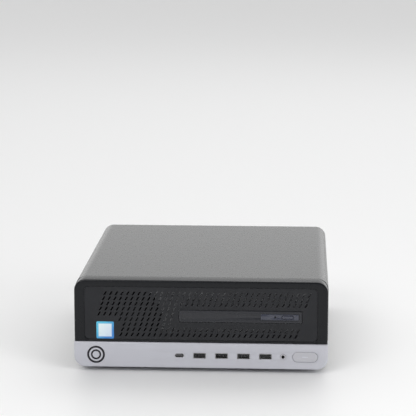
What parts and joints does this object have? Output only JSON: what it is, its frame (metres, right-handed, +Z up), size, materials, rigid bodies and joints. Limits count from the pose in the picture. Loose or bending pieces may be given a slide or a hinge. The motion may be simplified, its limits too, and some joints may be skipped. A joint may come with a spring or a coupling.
{
  "type": "small form factor desktop computer",
  "caption": "Flat small form factor desktop computer with a dark perforated front, slim disc drive, silver socket strip, lift-up hood and full inner fittings.",
  "frame": {"origin": "on the surface the feet stand on, under the middle of the overall box", "axes": "+X to the right as seen from the front, +Y from the front to the back, +Z up"},
  "size_m": [0.27, 0.296, 0.1],
  "materials": {
    "front_plastic": "satin black moulded plastic",
    "grille_plastic": "satin black, slanted slots",
    "strip_plastic": "fine silver metallic paint",
    "emblem_metal": "bright ring",
    "sticker": "printed foil",
    "button_plastic": "silver painted plastic",
    "light_pipe": "clear light pipe",
    "board_green": "solder mask over glass fibre",
    "port_steel": "plated pressed steel",
    "port_plastic": "black moulded plastic",
    "port_blue": "blue moulded plastic",
    "drive_steel": "plated steel",
    "tray_plastic": "satin black plastic",
    "spindle_plastic": "hub with rubber ring",
    "drive_alloy": "die cast",
    "case_steel": "zinc plated sheet",
    "case_paint": "fine textured dark paint",
    "rubber": "matt",
    "socket_plastic": "black moulded plastic",
    "latch_plastic": "white moulded plastic",
    "processor_lid": "nickel plated lid",
    "sink_alloy": "bare fins",
    "fan_plastic": "black moulded plastic",
    "coin_cell": "plated steel cell",
    "component_mix": "chips, coils and capacitors",
    "lead_jacket": "soft sleeving",
    "screw_steel": "plated screws"
  },
  "bodies": {
    "case": {"front_bezel": "front_plastic", "silver_strip": "strip_plastic", "grille_panel": "grille_plastic", "emblem": "emblem_metal", "spec_sticker": "sticker", "front_io_board": "board_green", "front_usb_shells": "port_steel", "front_usb_tongues": "port_plastic", "headset_jack": "port_plastic", "odd_case": "drive_steel", "drive_cage": "case_steel", "hard_drive": "drive_alloy", "chassis_pan": "case_paint", "front_wall": "case_steel", "rear_wall": "case_steel", "vent_meshes": "case_steel", "io_shield": "port_steel", "slot_covers": "port_steel", "rubber_feet": "rubber", "motherboard": "board_green", "board_screws": "screw_steel", "cpu_socket": "port_steel", "processor": "processor_lid", "heatsink": "sink_alloy", "fan_frame": "fan_plastic", "memory_sockets": "socket_plastic", "memory_modules": "board_green", "card_sockets": "socket_plastic", "ssd_module": "component_mix", "board_battery": "coin_cell", "board_components": "component_mix", "rear_port_shells": "port_steel", "rear_port_tongues": "port_blue", "vga_port": "port_steel", "audio_jacks": "port_plastic", "psu_case": "case_steel", "psu_lid": "case_steel", "psu_fan_frame": "fan_plastic", "power_inlet": "port_plastic", "psu_parts": "component_mix", "inner_cables": "lead_jacket", "speaker": "port_plastic", "case_screws": "screw_steel"},
    "power_button": {"power_button": "button_plastic", "power_light": "light_pipe"},
    "disc_tray": {"odd_tray": "tray_plastic", "odd_bezel": "front_plastic"},
    "tray_rails": {"odd_rails": "port_steel"},
    "eject_button": {"odd_eject_button": "front_plastic"},
    "disc_spindle": {"odd_spindle": "spindle_plastic"},
    "laser_sled": {"odd_laser_sled": "drive_alloy"},
    "case_fan": {"fan_rotor": "fan_plastic"},
    "supply_fan": {"psu_fan_rotor": "fan_plastic"},
    "hood": {"hood": "case_paint"},
    "hood_latch": {"hood_latch": "tray_plastic"},
    "slot_latch": {"slot_latch": "tray_plastic"},
    "memory_latch_1": {"memory_latch_1": "latch_plastic"},
    "memory_latch_2": {"memory_latch_2": "latch_plastic"},
    "memory_latch_3": {"memory_latch_3": "latch_plastic"},
    "memory_latch_4": {"memory_latch_4": "latch_plastic"}
  },
  "joints": [
    {"name": "power_button_press", "type": "slide", "parent": "case", "child": "power_button", "axis": [0, 1, 0], "range_m": [0, 0.0015], "stiffness_N_per_m": 600},
    {"name": "disc_tray_slide", "type": "slide", "parent": "case", "child": "disc_tray", "axis": [0, -1, 0], "range_m": [0, 0.13]},
    {"name": "tray_rail_slide", "type": "slide", "parent": "case", "child": "tray_rails", "axis": [0, -1, 0], "range_m": [0, 0.065]},
    {"name": "eject_button_press", "type": "slide", "parent": "disc_tray", "child": "eject_button", "axis": [0, 1, 0], "range_m": [0, 0.0008], "stiffness_N_per_m": 300},
    {"name": "disc_spindle_turn", "type": "hinge", "parent": "disc_tray", "child": "disc_spindle", "pos_m": [0.042, -0.0795, 0.0615], "axis": [0, 0, 1], "continuous": true},
    {"name": "laser_sled_slide", "type": "slide", "parent": "disc_tray", "child": "laser_sled", "axis": [0, 1, 0], "range_m": [0, 0.022]},
    {"name": "case_fan_turn", "type": "hinge", "parent": "case", "child": "case_fan", "pos_m": [-0.08, -0.115, 0.054], "axis": [0, 1, 0], "continuous": true},
    {"name": "supply_fan_turn", "type": "hinge", "parent": "case", "child": "supply_fan", "pos_m": [0.092, 0.134, 0.0614], "axis": [0, 1, 0], "continuous": true},
    {"name": "hood_hinge", "type": "hinge", "parent": "case", "child": "hood", "pos_m": [0, -0.1296, 0.1], "axis": [1, 0, 0], "range_deg": [0, 70]},
    {"name": "hood_latch_slide", "type": "slide", "parent": "hood", "child": "hood_latch", "axis": [1, 0, 0], "range_m": [0, 0.008], "stiffness_N_per_m": 150},
    {"name": "slot_latch_hinge", "type": "hinge", "parent": "case", "child": "slot_latch", "pos_m": [-0.088, 0.146, 0.0922], "axis": [-1, 0, 0], "range_deg": [0, 75]},
    {"name": "memory_latch_1_hinge", "type": "hinge", "parent": "case", "child": "memory_latch_1", "pos_m": [0.003, 0.049, 0.017], "axis": [-1, 0, 0], "range_deg": [0, 30]},
    {"name": "memory_latch_2_hinge", "type": "hinge", "parent": "case", "child": "memory_latch_2", "pos_m": [0.0125, 0.049, 0.017], "axis": [-1, 0, 0], "range_deg": [0, 30]},
    {"name": "memory_latch_3_hinge", "type": "hinge", "parent": "case", "child": "memory_latch_3", "pos_m": [0.022, 0.049, 0.017], "axis": [-1, 0, 0], "range_deg": [0, 30]},
    {"name": "memory_latch_4_hinge", "type": "hinge", "parent": "case", "child": "memory_latch_4", "pos_m": [0.0315, 0.049, 0.017], "axis": [-1, 0, 0], "range_deg": [0, 30]}
  ],
  "couplings": [
    {"joint": "tray_rail_slide", "follows": "disc_tray_slide", "ratio": 0.5}
  ]
}
